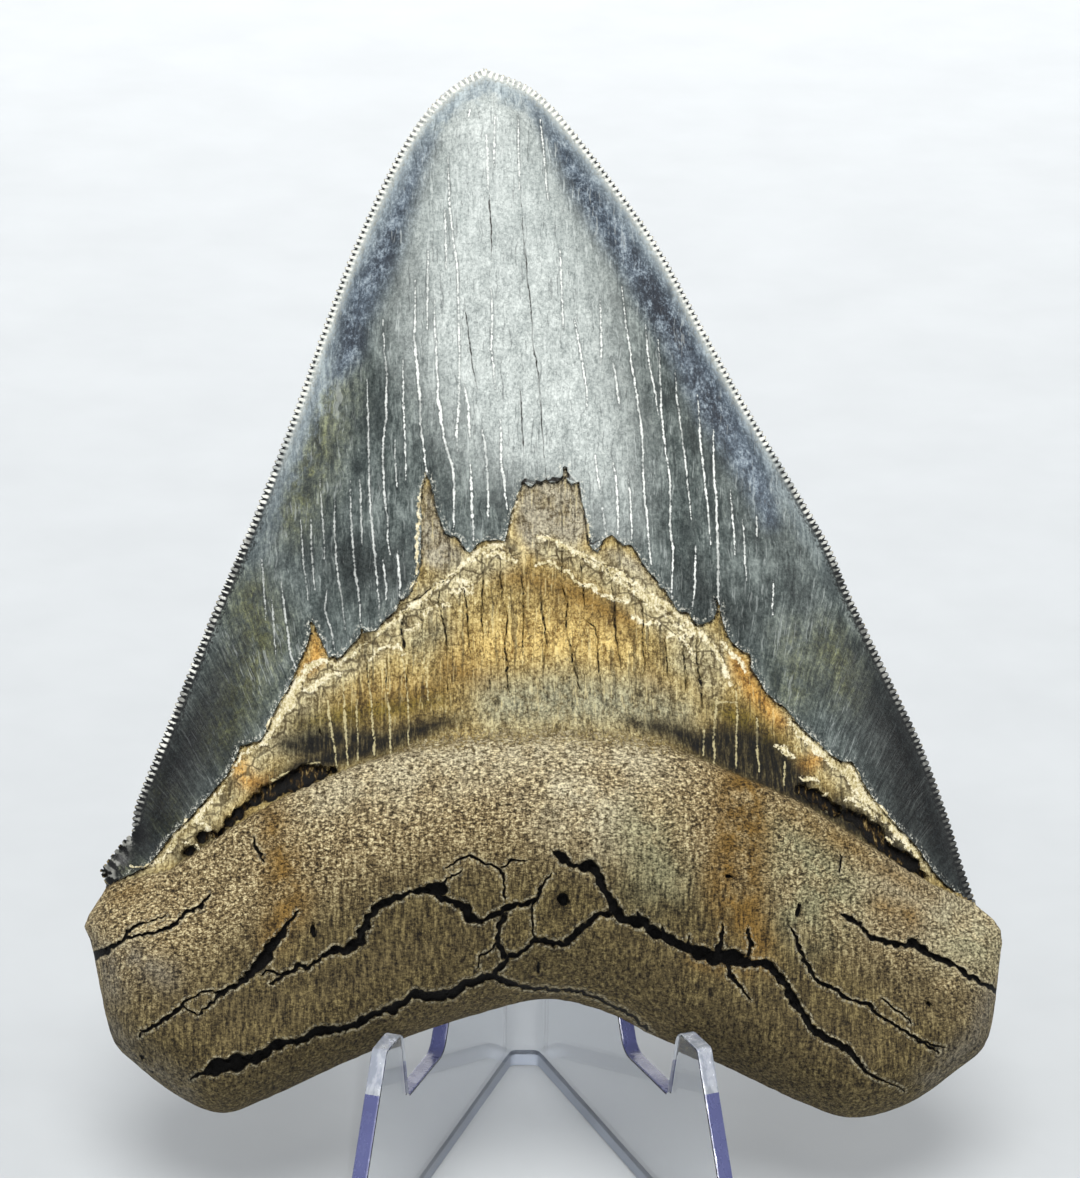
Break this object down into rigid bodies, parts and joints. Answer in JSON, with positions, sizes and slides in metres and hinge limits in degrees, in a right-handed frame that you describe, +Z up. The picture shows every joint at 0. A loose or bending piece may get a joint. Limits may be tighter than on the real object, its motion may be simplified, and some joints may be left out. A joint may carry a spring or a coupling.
{
  "type": "fossil shark tooth on a display stand",
  "caption": "Large triangular fossil shark tooth with serrated edges and a cracked root, leaning back in the notches of a folded clear acrylic stand.",
  "frame": {"origin": "bottom centre of the whole object's box, on the surface that the stand's cut edges rest on", "axes": "+Z up, +X to the right across the tooth's width, -Y towards the viewer of the tooth's lingual face, +Y behind the stand's fold"},
  "size_m": [0.114, 0.0816, 0.1286],
  "materials": {
    "fossil": "grey-blue polished enamel over the crown, golden ochre bourlette, rough tan-brown root with dark open cracks",
    "clear_acrylic": "clear polished acrylic sheet with bright cut edges"
  },
  "bodies": {
    "root": {"tooth": "fossil", "stand": "clear_acrylic"}
  },
  "joints": []
}
